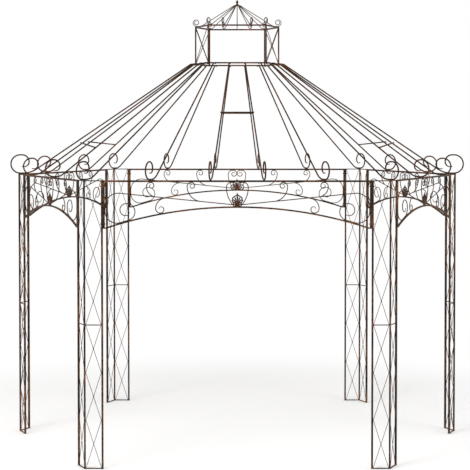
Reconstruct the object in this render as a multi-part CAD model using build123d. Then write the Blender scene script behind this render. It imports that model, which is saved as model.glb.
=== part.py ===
from build123d import *
import os
from math import asin, atan2, cos, degrees, hypot, radians, sin, tan

# A wrought iron garden pergola: six open lattice posts, six arched friezes,
# a roof of bent rods that end in volutes, and a small open lantern on top.

# Plan of the six corner posts, to the centre of each corner bar
half_length = 1860.0
half_front = 1165.0
half_depth = 1457.0

# Heights: the eave above the ground, and what rises above it or hangs below it
eave_height = 2208.0
frieze_drop = 369.0
wide_arch_rise = 165.0
narrow_arch_rise = 136.0
roof_rise = 934.0
lantern_height = 318.0
lantern_roof_rise = 181.0

# Plan of the lantern, to the centre of each of its posts
lantern_half_length = 353.0
lantern_half_front = 240.0
lantern_half_depth = 325.0

# Bars and wires
post_bar = 16.0
post_link = 8.0
post_panel_width = 135.0
lattice_wire = 6.0
lattice_cells = 6
frame_bar = 14.0
arch_bar = 12.0
scroll_wire = 7.0
scroll_depth = 8.0
rafter_rod = 12.0
crossbar_rod = 10.0
lantern_bar = 12.0
brace_wire = 6.0
lantern_rod = 6.0

# Gap under a curved piece that sits on a flat one, and how deep a welded end
# reaches into the bar that carries it before it is cut back flush
seat_gap = 0.3
weld_bite = 1.5

# Volute at the end of a frieze's long bar. It hangs beside the end bar, lies on
# the arch for a short run and winds inwards in quarter turns, each a share of
# the first radius
long_bar_lift = 8.0
volute_radius = 100.0
volute_drop = 40.0
volute_foot_radius = 88.0
volute_run = 70.0
volute_inner_shares = (0.66, 0.62, 0.48, 0.42)
volute_end_share = 0.25
volute_end_turn = 75.0

# Smaller scrolls of the friezes, placed by a share of the long bar's length
scroll_radius = 32.0
lower_scroll_radius = 35.0
scroll_taper = 0.78
upper_scroll_places = (0.41, 0.765)
lower_scroll_place = 0.685
lyre_half_width = 83.0
lyre_foot = 24.0
lyre_curl_radius = 38.0
lyre_top_run = 12.5
lyre_inner_radius = 30.0
lyre_end_radius = 26.0
lyre_taper = 0.80

# Cast palmette on the crown of each arch, its leaves a share of its height
palmette_height = 106.0
palmette_leaves = 7
palmette_spread = 116.0
palmette_thickness = 10.0
middle_leaf_share = 0.84
outer_leaf_share = 0.50
leaf_width_share = 0.20
leaf_shoulder_share = 0.60
leaf_foot_share = 0.15
palmette_base_share = 0.30

# Rafters: where they cross the eave and the lantern ring, as a share of the
# half face on the wide faces and of the whole face, from its far left or far
# right corner, on the narrow ones
wide_eave_shares = (0.175, 0.568)
wide_ring_shares = (0.255, 0.74)
near_eave_shares = (0.24, 0.585)
far_eave_shares = (0.265, 0.675)
narrow_ring_shares = (0.22, 0.68)
knee_radius = 24.0
knee_reach = 28.0

# Seat of a rafter: the radius of the heel that lays it down, and how far its level
# run reaches inwards and outwards from the eave; the side ones are the narrow faces',
# the end ones the far left and far right corners'
heel_radius = 150.0
seat_inward = 24.0
seat_outward = 14.0
side_heel_radius = 90.0
side_seat_inward = 12.0
end_heel_radius = 200.0
end_seat_inward = 35.0
end_seat_outward = -8.0

# Volute at the foot of a rafter: two quarter turns of the first radius with a
# short run on top, then tighter ones
rafter_volute_radius = 67.5
end_volute_radius = 78.0
face_volute_run = 4.0
corner_volute_run = 18.0
rafter_volute_shares = (0.75, 0.56)
rafter_volute_end_share = 0.40
rafter_volute_end_turn = 35.0

# Short bars across the middle rafters of each face, by a share of the roof's rise
wide_crossbar_shares = (0.545, 0.545)
narrow_crossbar_shares = (0.276, 0.243)
crossbar_overhang = 12.0

# Small rods of the lantern roof
lantern_knee_radius = 16.0
lantern_heel_radius = 50.0
lantern_seat_run = 24.0
lantern_seat_inset = 8.0
lantern_scroll_radius = 29.0
lantern_scroll_taper = 0.87
lantern_scroll_quarters = 6
middle_rod_places = (0.25, 0.5, 0.75)

# Hub and finial; the finial's profile is in shares of its height
hub_radius = 32.0
hub_thickness = 12.0
hub_sides = 12
finial_height = 44.0
finial_sides = 8
finial_profile = (
    (0.00, 0.26), (0.10, 0.26), (0.18, 0.10), (0.30, 0.10),
    (0.48, 0.22), (0.66, 0.15), (0.80, 0.05), (1.00, 0.02),
)

SEAT = (heel_radius, seat_inward, seat_outward)
END_SEAT = (end_heel_radius, end_seat_inward, end_seat_outward)

spring_height = eave_height - frieze_drop
ring_height = eave_height + roof_rise
lantern_rail_height = ring_height + lantern_height
lantern_hub_height = lantern_rail_height + lantern_roof_rise

CORNERS = {
    "front_left": (-half_front, -half_depth),
    "front_right": (half_front, -half_depth),
    "right": (half_length, 0.0),
    "back_right": (half_front, half_depth),
    "back_left": (-half_front, half_depth),
    "left": (-half_length, 0.0),
}
LANTERN_CORNERS = {
    "front_left": (-lantern_half_front, -lantern_half_depth),
    "front_right": (lantern_half_front, -lantern_half_depth),
    "right": (lantern_half_length, 0.0),
    "back_right": (lantern_half_front, lantern_half_depth),
    "back_left": (-lantern_half_front, lantern_half_depth),
    "left": (-lantern_half_length, 0.0),
}
# Each face of the plan runs from its left corner to its right one, seen from outside
FACES = {
    "front": ("front_left", "front_right"),
    "front_right": ("front_right", "right"),
    "back_right": ("right", "back_right"),
    "back": ("back_right", "back_left"),
    "back_left": ("back_left", "left"),
    "front_left": ("left", "front_left"),
}
WIDE_FACES = ("front", "back")


def between(start, end, share):
    """The point at a share of the way from start to end."""
    return tuple(a + (b - a) * share for a, b in zip(start, end))


def distance(start, end):
    return hypot(end[0] - start[0], end[1] - start[1])


def upright_plane(start, end):
    """A vertical plane with x along start to end, y up and its origin at start."""
    length = distance(start, end)
    along_x = (end[0] - start[0]) / length
    along_y = (end[1] - start[1]) / length
    return Plane(origin=(start[0], start[1], 0), x_dir=(along_x, along_y, 0), z_dir=(along_y, -along_x, 0))


def placed(plane, face, thickness):
    """A flat outline set into an upright plane and given its thickness, half to each side."""
    return extrude(plane * face, amount=thickness / 2, dir=plane.z_dir, both=True)


def bent_bar(start, heading, moves, width):
    """The outline of a bar that follows straight runs and tangent arcs.

    A move is (length,) for a straight run or (radius, turn) for an arc, with a
    positive turn to the left.
    """
    sides = []
    for side in (1, -1):
        angle = radians(heading)
        point = (start[0] - sin(angle) * side * width / 2, start[1] + cos(angle) * side * width / 2)
        direction = heading
        edges = []
        for move in moves:
            if len(move) == 1:
                angle = radians(direction)
                target = (point[0] + cos(angle) * move[0], point[1] + sin(angle) * move[0])
                edge = Line(point, target)
            else:
                radius, turn = move
                inside = side if turn > 0 else -side
                angle = radians(direction)
                edge = JernArc(point, (cos(angle), sin(angle)), radius - inside * width / 2, turn)
                direction += turn
            edges.append(edge)
            point = edge @ 1
            point = (point.X, point.Y)
        sides.append((edges, point))
    first = Line(sides[0][0][0] @ 0, sides[1][0][0] @ 0)
    last = Line(sides[0][1], sides[1][1])
    return make_face(Curve() + sides[0][0] + sides[1][0] + [first, last])


def curl(radius, taper, quarters, side=1):
    """Quarter turns that tighten by the same ratio, as the moves of a scroll."""
    return [(radius * taper ** i, 90.0 * side) for i in range(quarters)]


def strip(start, end, width, past):
    """A straight flat strip between two points, run on past both."""
    turn = degrees(atan2(end[1] - start[1], end[0] - start[0]))
    middle = between(start, end, 0.5)
    return Pos(*middle) * Rot(0, 0, turn) * Rectangle(distance(start, end) + 2 * past, width)


def corner_section(size, point, first, second):
    """The section of a corner bar, with a flat face square to both of its neighbours."""
    squares = []
    for end in (first, second):
        turn = degrees(atan2(end[1] - point[1], end[0] - point[0]))
        squares.append(Rot(0, 0, turn) * Rectangle(size, size))
    return Pos(*point) * (squares[0] & squares[1])


def neighbours(corners, name):
    names = list(corners)
    place = names.index(name)
    return corners[names[place - 1]], corners[names[(place + 1) % len(names)]]


def post_frame(name):
    """Three upright bars in a V with thin links at foot and head."""
    point = CORNERS[name]
    section = corner_section(post_bar, point, *neighbours(CORNERS, name))
    frame = extrude(section, amount=eave_height)
    for end in neighbours(CORNERS, name):
        plane = upright_plane(point, end)
        bar = Pos(post_panel_width, eave_height / 2) * Rectangle(post_bar, eave_height)
        frame += placed(plane, bar, post_bar)
        for height in (post_link / 2, eave_height - post_link / 2):
            link = Pos(post_panel_width / 2, height) * Rectangle(post_panel_width, post_link)
            frame += placed(plane, link, post_link)
    return frame


def post_lattice(name):
    """Two crossing zigzag wires and a tie at half height in each open side of a post."""
    point = CORNERS[name]
    left = post_bar / 2
    right = post_panel_width - post_bar / 2
    cell = (eave_height - 2 * post_link) / lattice_cells
    webs = []
    for end in neighbours(CORNERS, name):
        wires = Sketch()
        for i in range(lattice_cells):
            low = post_link + i * cell
            wires += strip((left, low), (right, low + cell), lattice_wire, 2 * lattice_wire)
            wires += strip((right, low), (left, low + cell), lattice_wire, 2 * lattice_wire)
        centre = Pos((left + right) / 2, eave_height / 2)
        wires += centre * Rectangle(right - left, post_link)
        field = centre * Rectangle(right - left, eave_height - 2 * post_link)
        webs.append(placed(upright_plane(point, end), wires & field, lattice_wire))
    return webs


class Frieze:
    """The arched frame of one face, its scrollwork and its palmette, about the face's middle."""

    def __init__(self, name):
        start, end = (CORNERS[corner] for corner in FACES[name])
        middle = between(start, end, 0.5)
        self.plane = upright_plane(middle, end)
        self.half_width = distance(start, end) / 2 - post_panel_width - post_bar / 2
        self.half_clear = self.half_width - frame_bar
        self.rail_underside = eave_height - frame_bar
        rise = wide_arch_rise if name in WIDE_FACES else narrow_arch_rise
        self.crown = spring_height + rise
        span = self.half_width - frame_bar / 2
        self.arch_radius = (span ** 2 + rise ** 2) / (2 * rise)
        self.arch_turn = degrees(asin(span / self.arch_radius))

    def arch_top(self, x):
        """Height of the top of the arch bar at a distance from the middle."""
        outer = self.arch_radius + arch_bar / 2
        return self.crown - self.arch_radius + (outer ** 2 - x ** 2) ** 0.5

    def frame_outline(self):
        """Top rail, two end bars and the arch bar."""
        rail = Pos(0, eave_height - frame_bar / 2) * Rectangle(2 * self.half_width, frame_bar)
        height = eave_height - spring_height
        outline = rail
        for side in (-1, 1):
            place = Pos(side * (self.half_width - frame_bar / 2), spring_height + height / 2)
            outline += place * Rectangle(frame_bar, height)
        start = (-(self.half_width - frame_bar / 2), spring_height)
        arch = bent_bar(start, self.arch_turn, [(self.arch_radius, -2 * self.arch_turn)], arch_bar)
        above = Pos(0, spring_height + height / 2) * Rectangle(2 * self.half_width, height)
        return outline + (arch & above)

    def long_scroll(self):
        """The long bar from the lyre that ends in a volute on the end bar and the arch."""
        reach = scroll_wire / 2 - weld_bite
        top_x = self.half_clear - reach - volute_radius
        foot_x = self.half_clear - reach - volute_foot_radius
        away = self.arch_radius + arch_bar / 2 + reach + volute_foot_radius
        foot_z = self.crown - self.arch_radius + (away ** 2 - foot_x ** 2) ** 0.5
        tilt = degrees(asin(foot_x / away))
        top_z = foot_z + volute_drop
        start = (lyre_foot, self.arch_top(lyre_foot) + scroll_wire / 2 + long_bar_lift)
        reach_out = distance(start, (top_x, top_z))
        lean = degrees(asin(volute_radius / reach_out))
        heading = degrees(atan2(top_z - start[1], top_x - start[0])) + lean
        run = reach_out * cos(radians(lean))
        moves = [(run,), (volute_radius, -90 - heading), (volute_drop,)]
        moves += [(volute_foot_radius, -90 - tilt), (volute_run,)]
        moves += [(volute_radius * share, -90) for share in volute_inner_shares]
        moves.append((volute_radius * volute_end_share, -volute_end_turn))
        return start, heading, run, moves

    def upper_scroll(self, outer_x, start, heading):
        """A scroll under the rail whose stem lands tangent on the long bar."""
        top = self.rail_underside - scroll_wire / 2 + weld_bite
        slope = radians(heading)
        outer_z = top - scroll_radius
        bar_z = start[1] + tan(slope) * (outer_x - start[0])
        stem = (outer_z - bar_z) / (cos(slope) - tan(slope) * (1 - sin(slope)))
        seat = (outer_x - scroll_radius, top)
        down = bent_bar(seat, 0, [(scroll_radius, -90), (stem, heading - 90)], scroll_wire)
        return down + bent_bar(seat, 180, curl(scroll_radius * scroll_taper, scroll_taper, 4), scroll_wire)

    def lower_scroll(self, outer_x, start, heading):
        """A scroll on the arch whose stem hangs tangent from the long bar."""
        seat_x = outer_x - lower_scroll_radius
        slope = radians(heading)
        bottom = self.arch_top(seat_x) + scroll_wire / 2 - weld_bite
        outer_z = bottom + lower_scroll_radius
        bar_z = start[1] + tan(slope) * (outer_x - start[0])
        stem = (bar_z - outer_z) / (cos(slope) + tan(slope) * (1 + sin(slope)))
        up = bent_bar((seat_x, bottom), 0, [(lower_scroll_radius, 90), (stem, heading + 90)], scroll_wire)
        inward = curl(lower_scroll_radius * scroll_taper, scroll_taper, 3, -1)
        return up + bent_bar((seat_x, bottom), 180, inward, scroll_wire)

    def lyre_side(self):
        """One half of the lyre round the palmette, up from the crown and curled in under the rail."""
        top = self.rail_underside - scroll_wire / 2 + weld_bite
        outer_z = top - lyre_curl_radius
        foot = (lyre_foot, self.arch_top(lyre_foot))
        rise = outer_z - foot[1]
        out = lyre_half_width - foot[0]
        turn = 2 * degrees(atan2(out, rise))
        radius = distance(foot, (lyre_half_width, outer_z)) / (2 * sin(radians(turn / 2)))
        moves = [(radius, turn), (lyre_curl_radius, 90), (lyre_top_run,), (lyre_inner_radius, 90)]
        moves += curl(lyre_end_radius, lyre_taper, 4)
        return bent_bar(foot, 90 - turn, moves, scroll_wire)

    def scroll_outline(self):
        start, heading, run, moves = self.long_scroll()
        half = bent_bar(start, heading, moves, scroll_wire)
        length = run * cos(radians(heading))
        for share in upper_scroll_places:
            half += self.upper_scroll(start[0] + share * length, start, heading)
        half += self.lower_scroll(start[0] + lower_scroll_place * length, start, heading)
        half += self.lyre_side()
        return (half + mirror(half, about=Plane.YZ)) - self.frame_outline()

    def frame(self):
        return placed(self.plane, self.frame_outline(), frame_bar)

    def scrollwork(self):
        return placed(self.plane, self.scroll_outline(), scroll_depth)

    def palmette(self):
        """A fan of pointed leaves that stands on the crown."""
        base = self.crown + arch_bar / 2 + seat_gap
        foot = palmette_height * leaf_foot_share
        width = palmette_height * leaf_width_share
        fan = Pos(0, width / 2) * Rectangle(palmette_height * palmette_base_share, width)
        for i in range(palmette_leaves):
            place = 2 * i / (palmette_leaves - 1) - 1
            share = middle_leaf_share - (middle_leaf_share - outer_leaf_share) * abs(place)
            length = palmette_height * share
            shoulder = length * leaf_shoulder_share
            leaf = Polygon((0, 0), (width / 2, shoulder), (0, length), (-width / 2, shoulder), align=None)
            fan += Pos(0, foot) * Rot(0, 0, -place * palmette_spread / 2) * leaf
        return placed(self.plane, Pos(0, base) * fan, palmette_thickness)


def rod_moves(start, end, knee, heel, reach):
    """Moves of a rod that runs level, bends over a knee, slopes down and lies level again.

    The rod is level at start and at end, and its two bends are joined by a tangent run.
    """
    knee_centre = (start[0] + reach, start[1] - knee)
    heel_centre = (end[0], end[1] + heel)
    apart = distance(knee_centre, heel_centre)
    lean = degrees(asin((knee + heel) / apart))
    slope = lean - degrees(atan2(heel_centre[1] - knee_centre[1], heel_centre[0] - knee_centre[0]))
    run = apart * cos(radians(lean))
    return [(reach,), (knee, -slope), (run,), (heel, slope)]


def rafter_path(ring_point, eave_point, heel, inward):
    """Start and moves of a rafter's rod as far as the seat on the eave, in its own plane."""
    start = (0.0, ring_height)
    end_x = distance(ring_point, eave_point) - inward
    end = (end_x, eave_height + seat_gap + rafter_rod / 2)
    return start, rod_moves(start, end, knee_radius, heel, knee_reach + lantern_bar / 2)


def rafter(ring_point, eave_point, seat, radius, top_run):
    """One bent rod of the main roof, cut back to the outside of the lantern ring.

    The seat is the heel's radius and the reach of the level run to either side of
    the eave.
    """
    heel, inward, outward = seat
    plane = upright_plane(ring_point, eave_point)
    start, moves = rafter_path(ring_point, eave_point, heel, inward)
    moves += [(inward + outward,), (radius, 90), (radius, 90), (top_run,)]
    moves += [(radius * share, 90) for share in rafter_volute_shares]
    moves.append((radius * rafter_volute_end_share, rafter_volute_end_turn))
    rod = placed(plane, bent_bar(start, 0, moves, rafter_rod), rafter_rod)
    inside = Pos(0, 0, ring_height - lantern_bar) * hexagon(lantern_bar / 2)
    return rod - extrude(inside, amount=2 * lantern_bar)


def hexagon(grow):
    """The lantern's plan, made larger or smaller all round."""
    outline = Polygon(*LANTERN_CORNERS.values(), align=None)
    return offset(outline, amount=grow, kind=Kind.INTERSECTION)


def rafter_ends(name):
    """Ring and eave points of the rafters between the corners of one face."""
    eave = [CORNERS[corner] for corner in FACES[name]]
    ring = [LANTERN_CORNERS[corner] for corner in FACES[name]]
    if name in WIDE_FACES:
        halves = list(zip(wide_ring_shares, wide_eave_shares))
        shares = [(0.5 + side * r / 2, 0.5 + side * e / 2) for side in (-1, 1) for r, e in halves]
    else:
        eave_shares = near_eave_shares if name.startswith("front") else far_eave_shares
        shares = list(zip(narrow_ring_shares, eave_shares))
        if FACES[name][0] not in ("left", "right"):
            shares = [(1 - r, 1 - e) for r, e in shares]
    return [(between(*ring, r), between(*eave, e)) for r, e in shares]


def face_seat(name):
    """How the rafters between the corners of a face sit on the eave."""
    if name in WIDE_FACES:
        return SEAT
    return (side_heel_radius, side_seat_inward, seat_outward)


def rod_point(ring_point, eave_point, seat, height):
    """Where the straight slope of a rafter passes a height, in plan."""
    start, moves = rafter_path(ring_point, eave_point, *seat[:2])
    angle = radians(-moves[1][1])
    along = moves[0][0] + knee_radius * sin(angle)
    drop = knee_radius * (1 - cos(angle))
    along += (start[1] - drop - height) / tan(angle)
    return between(ring_point, eave_point, along / distance(ring_point, eave_point))


def crossbar(name, rods):
    """A short bar across the top of the two middle rafters of a face, notched over them."""
    ends = rafter_ends(name)
    if name in WIDE_FACES:
        pair = (ends[0], ends[2])
        shares = wide_crossbar_shares
    else:
        pair = (ends[0], ends[1])
        shares = narrow_crossbar_shares
    heights = [eave_height + roof_rise * share for share in shares]
    seat = face_seat(name)
    first, second = (rod_point(*rod, seat, height) for rod, height in zip(pair, heights))
    lift = rafter_rod / 2 + crossbar_rod / 2
    low = (0.0, heights[0] + lift)
    high = (distance(first, second), heights[1] + lift)
    bar = strip(low, high, crossbar_rod, crossbar_overhang)
    solid = placed(upright_plane(first, second), bar, crossbar_rod)
    for rod in rods:
        solid -= rod
    return solid


def lantern_ring(height):
    outline = hexagon(lantern_bar / 2) - hexagon(-lantern_bar / 2)
    return extrude(Pos(0, 0, height) * outline, amount=lantern_bar)


def lantern_posts():
    base = ring_height + lantern_bar / 2
    posts = []
    for name, point in LANTERN_CORNERS.items():
        section = corner_section(lantern_bar, point, *neighbours(LANTERN_CORNERS, name))
        posts.append(extrude(Pos(0, 0, base) * section, amount=lantern_rail_height - lantern_bar - base))
    return posts


def lantern_braces():
    """Crossed wires in the four narrow faces of the lantern."""
    low = ring_height + lantern_bar / 2
    high = lantern_rail_height - lantern_bar
    braces = []
    for name, (first, second) in FACES.items():
        if name in WIDE_FACES:
            continue
        start, end = LANTERN_CORNERS[first], LANTERN_CORNERS[second]
        left = lantern_bar / 2
        right = distance(start, end) - left
        cross = strip((left, low), (right, high), brace_wire, 2 * brace_wire)
        cross += strip((left, high), (right, low), brace_wire, 2 * brace_wire)
        field = Pos((left + right) / 2, (low + high) / 2) * Rectangle(right - left, high - low)
        braces.append(placed(upright_plane(start, end), cross & field, brace_wire))
    return braces


def lantern_hub():
    """The flat boss at the apex that gathers the lantern's roof rods."""
    base = Pos(0, 0, lantern_hub_height - hub_thickness / 2)
    return extrude(base * RegularPolygon(hub_radius, hub_sides), amount=hub_thickness)


def lantern_roof(hub):
    """Twelve thin rods from the hub down to the lantern's rail, each ending in a small scroll."""
    ends = list(LANTERN_CORNERS.values())
    for name in WIDE_FACES:
        start, end = (LANTERN_CORNERS[corner] for corner in FACES[name])
        ends += [between(start, end, place) for place in middle_rod_places]
    rods = []
    for point in ends:
        plane = upright_plane((0.0, 0.0), point)
        start = (hub_radius - hub_thickness / 2, lantern_hub_height)
        end_x = distance((0.0, 0.0), point) - lantern_seat_inset - lantern_seat_run
        end = (end_x, lantern_rail_height + seat_gap + lantern_rod / 2)
        reach = hub_thickness / 2 + lantern_rod
        moves = rod_moves(start, end, lantern_knee_radius, lantern_heel_radius, reach)
        moves.append((lantern_seat_run,))
        moves += curl(lantern_scroll_radius, lantern_scroll_taper, lantern_scroll_quarters)
        rods.append(placed(plane, bent_bar(start, 0, moves, lantern_rod), lantern_rod) - hub)
    return rods


def finial():
    """A small bud on a collar, ending in a point."""
    base = lantern_hub_height + hub_thickness / 2
    rings = []
    for height, radius in finial_profile:
        ring = RegularPolygon(finial_height * radius, finial_sides)
        rings.append(Pos(0, 0, base + finial_height * height) * ring)
    return loft(rings, ruled=True)


def save(node, pieces):
    shape = Compound(children=pieces) if isinstance(pieces, list) else pieces
    shape.label = node
    export_step(shape, os.path.join("parts", node + ".step"))


os.makedirs("parts", exist_ok=True)
for corner in CORNERS:
    save(corner + "_post_frame", post_frame(corner))
    save(corner + "_post_lattice", post_lattice(corner))
for face in FACES:
    frieze = Frieze(face)
    save(face + "_arch_frame", frieze.frame())
    save(face + "_arch_scrollwork", frieze.scrollwork())
    save(face + "_palmette", frieze.palmette())
crossbars = []
for face in FACES:
    seat = face_seat(face)
    rods = [rafter(*ends, seat, rafter_volute_radius, face_volute_run) for ends in rafter_ends(face)]
    save(face + "_rafters", rods)
    crossbars.append(crossbar(face, rods))
corner_rods = []
for corner in CORNERS:
    ends = (LANTERN_CORNERS[corner], CORNERS[corner])
    if corner in ("left", "right"):
        corner_rods.append(rafter(*ends, END_SEAT, end_volute_radius, corner_volute_run))
    else:
        corner_rods.append(rafter(*ends, SEAT, rafter_volute_radius, corner_volute_run))
save("corner_rafters", corner_rods)
save("roof_crossbars", crossbars)
save("lantern_base_ring", lantern_ring(ring_height - lantern_bar / 2))
save("lantern_posts", lantern_posts())
save("lantern_braces", lantern_braces())
save("lantern_top_rail", lantern_ring(lantern_rail_height - lantern_bar))
hub = lantern_hub()
save("lantern_hub", hub)
save("lantern_roof_rods", lantern_roof(hub))
save("finial", finial())
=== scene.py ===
# %% [markdown]
# # A wrought iron garden pergola
#
# The real object is a small pavilion that is all line: six open lattice posts, six
# arched friezes full of scrolls, a tent of bent rods that end in volutes at the eave,
# and a little open lantern on top. Nothing in it is a surface, so everything that
# makes it look right is in the section of its bars, the smoothness of its bends, its
# welds and its brown iron finish.
#
# We load the measured model first. It gives the frame that every finished piece has
# to fit.

# %% Load the measured frame
from math import acos, asin, atan2, cos, degrees, log, pi, radians, sin, tan, tau

import bmesh
import bpy
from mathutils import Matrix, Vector


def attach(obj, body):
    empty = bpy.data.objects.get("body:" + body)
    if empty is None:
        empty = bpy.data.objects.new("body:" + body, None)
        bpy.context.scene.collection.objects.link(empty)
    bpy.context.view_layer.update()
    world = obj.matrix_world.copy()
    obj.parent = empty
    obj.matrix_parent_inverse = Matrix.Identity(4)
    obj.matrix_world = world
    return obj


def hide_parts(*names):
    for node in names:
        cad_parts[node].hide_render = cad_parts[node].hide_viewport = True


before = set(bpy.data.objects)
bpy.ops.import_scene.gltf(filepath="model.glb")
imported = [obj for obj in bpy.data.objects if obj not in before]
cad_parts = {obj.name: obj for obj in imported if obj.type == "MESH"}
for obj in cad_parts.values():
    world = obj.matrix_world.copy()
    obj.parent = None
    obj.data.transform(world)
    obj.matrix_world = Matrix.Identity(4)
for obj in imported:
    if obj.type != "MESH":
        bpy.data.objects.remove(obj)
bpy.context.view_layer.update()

# %% [markdown]
# ## The plan and the heights
#
# A smith would chalk the plan of the six posts on the floor and work upwards from it.
# We do the same: the corners, the heights and the bar sizes are written once here, in
# metres, and every bend further down is worked out from them.

# %% Plan, heights and bars
CORNERS = {
    "front_left": Vector((-1.165, -1.457)),
    "front_right": Vector((1.165, -1.457)),
    "right": Vector((1.860, 0.0)),
    "back_right": Vector((1.165, 1.457)),
    "back_left": Vector((-1.165, 1.457)),
    "left": Vector((-1.860, 0.0)),
}
LANTERN = {
    "front_left": Vector((-0.240, -0.325)),
    "front_right": Vector((0.240, -0.325)),
    "right": Vector((0.353, 0.0)),
    "back_right": Vector((0.240, 0.325)),
    "back_left": Vector((-0.240, 0.325)),
    "left": Vector((-0.353, 0.0)),
}
FACES = {
    "front": ("front_left", "front_right"),
    "front_right": ("front_right", "right"),
    "back_right": ("right", "back_right"),
    "back": ("back_right", "back_left"),
    "back_left": ("back_left", "left"),
    "front_left": ("left", "front_left"),
}
WIDE_FACES = ("front", "back")

eave = 2.208
spring = 1.839
ring_height = 3.142
lantern_rail = 3.460
hub_height = 3.641

# widths of the bars and of a post's open sides
post_bar = 0.016
post_link = 0.008
post_panel = 0.135
frame_bar = 0.014
arch_bar = 0.012
lantern_bar = 0.012
scroll_wire = 0.007
scroll_rod = 0.0076
rafter_rod = 0.012
lantern_rod = 0.006
lattice_wire = 0.0043
brace_wire = 0.006

# how deep a welded rod sinks into what it touches, and the air under a round rod
bite = 0.0015
seat_gap = 0.0003
print("plan of", len(CORNERS), "posts, eave at", eave, "m, lantern ring at", ring_height, "m")

# %% [markdown]
# ## Drawing a bent bar
#
# A bar is bent cold round a jig, so its centre line is made of straight runs and of
# arcs that leave them without a kink. The helper below walks along such a line: each
# move is either a straight length, or a radius and a turn. It works in the flat plane
# of the bar, and `stand_up` then puts that plane upright in the pergola. Typing points
# by hand would give lumpy scrolls; this keeps every curve as clean as the jig would.

# %% Walking along a bent bar
WIDEST_STEP = 9.0  # degrees
FLATNESS = 0.00008  # metres between an arc and its chord


def walk(start, heading, moves):
    """Points along straight runs (length,) and tangent arcs (radius, turn in degrees)."""
    x, z = start
    angle = radians(heading)
    points = [(x, z)]
    for move in moves:
        if len(move) == 1:
            x, z = x + cos(angle) * move[0], z + sin(angle) * move[0]
            points.append((x, z))
            continue
        radius, turn = move
        widest = min(WIDEST_STEP, 2 * degrees(acos(1 - FLATNESS / radius)))
        steps = max(2, round(abs(turn) / widest))
        part = radians(turn) / steps
        chord = 2 * radius * sin(abs(part) / 2)
        for _ in range(steps):
            x, z = x + cos(angle + part / 2) * chord, z + sin(angle + part / 2) * chord
            angle += part
            points.append((x, z))
    return points


def stand_up(start, end, points, aside=0.0):
    """Puts flat points into the upright plane that runs from start towards end."""
    along = (end - start).normalized()
    out = Vector((along.y, -along.x)) * aside
    return [Vector((start.x + along.x * x + out.x, start.y + along.y * x + out.y, z))
            for x, z in points]


def curl(radius, taper, quarters, side=1):
    """Quarter turns that tighten by the same ratio."""
    return [(radius * taper ** i, 90.0 * side) for i in range(quarters)]


print("a volute of four quarters has", len(walk((0, 0), 0, curl(0.07, 0.8, 4))), "points")

# %% [markdown]
# ## A rod by Geometry Nodes
#
# Every rod, wire and scroll here is the same thing: a round section carried along a
# line. That is a job for Geometry Nodes, because one small tree then makes them all,
# and its sizes are inputs that can be changed for each piece. The tree thins the last
# stretch of each line, as a smith draws out the end of a bar before he curls it, sweeps
# the round section and gives the result its material. The outcome is turned into a
# plain mesh, so nothing depends on the tree afterwards.

# %% The rod tree
def new_tree(name, inputs):
    """An empty Geometry Nodes tree with a geometry input and the named values."""
    tree = bpy.data.node_groups.new(name, "GeometryNodeTree")
    tree.interface.new_socket("Geometry", in_out="INPUT", socket_type="NodeSocketGeometry")
    for label, kind in inputs:
        tree.interface.new_socket(label, in_out="INPUT", socket_type="NodeSocket" + kind)
    tree.interface.new_socket("Geometry", in_out="OUTPUT", socket_type="NodeSocketGeometry")
    return tree, tree.nodes.new("NodeGroupInput"), tree.nodes.new("NodeGroupOutput")


def add(tree, kind, links=None, **settings):
    """A node with its settings and its inputs, which are values or other nodes' outputs."""
    node = tree.nodes.new(kind)
    for key, value in settings.items():
        setattr(node, key, value)
    for key, value in (links or {}).items():
        if isinstance(value, bpy.types.NodeSocket):
            tree.links.new(value, node.inputs[key])
        else:
            node.inputs[key].default_value = value
    return node


def rod_tree():
    """Sweeps a round section along curves and thins the last stretch of each."""
    tree, given, result = new_tree("bent_rod", [
        ("Section radius", "Float"), ("Sides", "Int"), ("Drawn length", "Float"),
        ("End share", "Float"), ("Finish", "Material")])
    factor = add(tree, "GeometryNodeSplineParameter")
    whole = add(tree, "GeometryNodeSplineLength")
    left = add(tree, "ShaderNodeMath", {0: whole.outputs["Length"], 1: factor.outputs["Length"]},
               operation="SUBTRACT")
    drawn = add(tree, "ShaderNodeMapRange", {
        "Value": left.outputs[0], "From Max": given.outputs["Drawn length"],
        "To Min": given.outputs["End share"], "To Max": 1.0}, interpolation_type="SMOOTHSTEP")
    own = add(tree, "GeometryNodeInputRadius")
    radius = add(tree, "ShaderNodeMath", {0: drawn.outputs[0], 1: own.outputs[0]},
                 operation="MULTIPLY")
    section = add(tree, "GeometryNodeCurvePrimitiveCircle", {
        "Resolution": given.outputs["Sides"], "Radius": given.outputs["Section radius"]})
    sweep = add(tree, "GeometryNodeCurveToMesh", {
        "Curve": given.outputs["Geometry"], "Profile Curve": section.outputs[0],
        "Scale": radius.outputs[0], "Fill Caps": True})
    smooth = add(tree, "GeometryNodeSetShadeSmooth", {"Geometry": sweep.outputs[0]})
    whole_piece = add(tree, "GeometryNodeRealizeInstances", {0: smooth.outputs[0]})
    finish = add(tree, "GeometryNodeSetMaterial", {
        "Geometry": whole_piece.outputs[0], "Material": given.outputs["Finish"]})
    tree.links.new(finish.outputs[0], result.inputs[0])
    return tree


ROD_TREE = rod_tree()
print("rod tree:", len(ROD_TREE.nodes), "nodes")

# %% [markdown]
# The tree needs something to work on. `grow` gives a carrier object to the modifier,
# sets the inputs by their identifiers, lets Blender evaluate it once and keeps the
# plain mesh. The carrier is thrown away, so each finished piece is an ordinary object
# that sits at the origin with its place in its mesh.

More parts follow.
